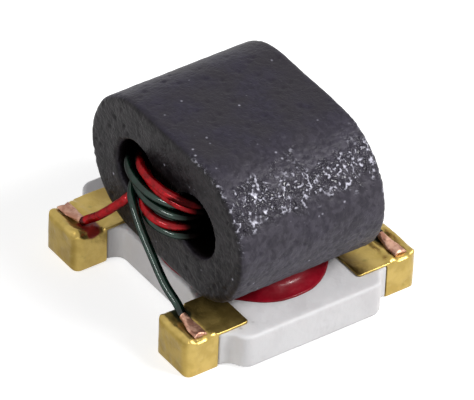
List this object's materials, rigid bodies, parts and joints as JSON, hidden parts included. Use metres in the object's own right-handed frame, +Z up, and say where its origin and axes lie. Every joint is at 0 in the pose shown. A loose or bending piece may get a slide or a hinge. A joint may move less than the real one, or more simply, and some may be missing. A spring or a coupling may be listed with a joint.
{
  "type": "rf transformer",
  "caption": "Open wire-wound surface-mount transformer: a two-hole ferrite core wound with red and green enamelled wire, glued to a white header with gold-plated corner terminals.",
  "frame": {"origin": "middle of the four terminals, on the board plane that the terminal feet rest on", "axes": "+X along the header's long side, +Y along the core's two holes from the front to the rear, +Z up from the board"},
  "size_m": [0.004, 0.0038, 0.0029],
  "materials": {
    "header": "moulded, slightly translucent satin",
    "ferrite": "sintered, pitted, tumbled edges",
    "adhesive": "glossy cured epoxy",
    "gold_plate": "soft satin gold plate",
    "red_enamel": "glossy enamel, bare copper at both flattened ends",
    "green_enamel": "glossy dark enamel, bare copper at both flattened ends"
  },
  "bodies": {
    "root": {"base": "header", "core": "ferrite", "adhesive": "adhesive", "terminal_front_left": "gold_plate", "terminal_front_right": "gold_plate", "terminal_rear_left": "gold_plate", "terminal_rear_right": "gold_plate", "red_wire": "red_enamel", "green_wire": "green_enamel"}
  },
  "joints": []
}
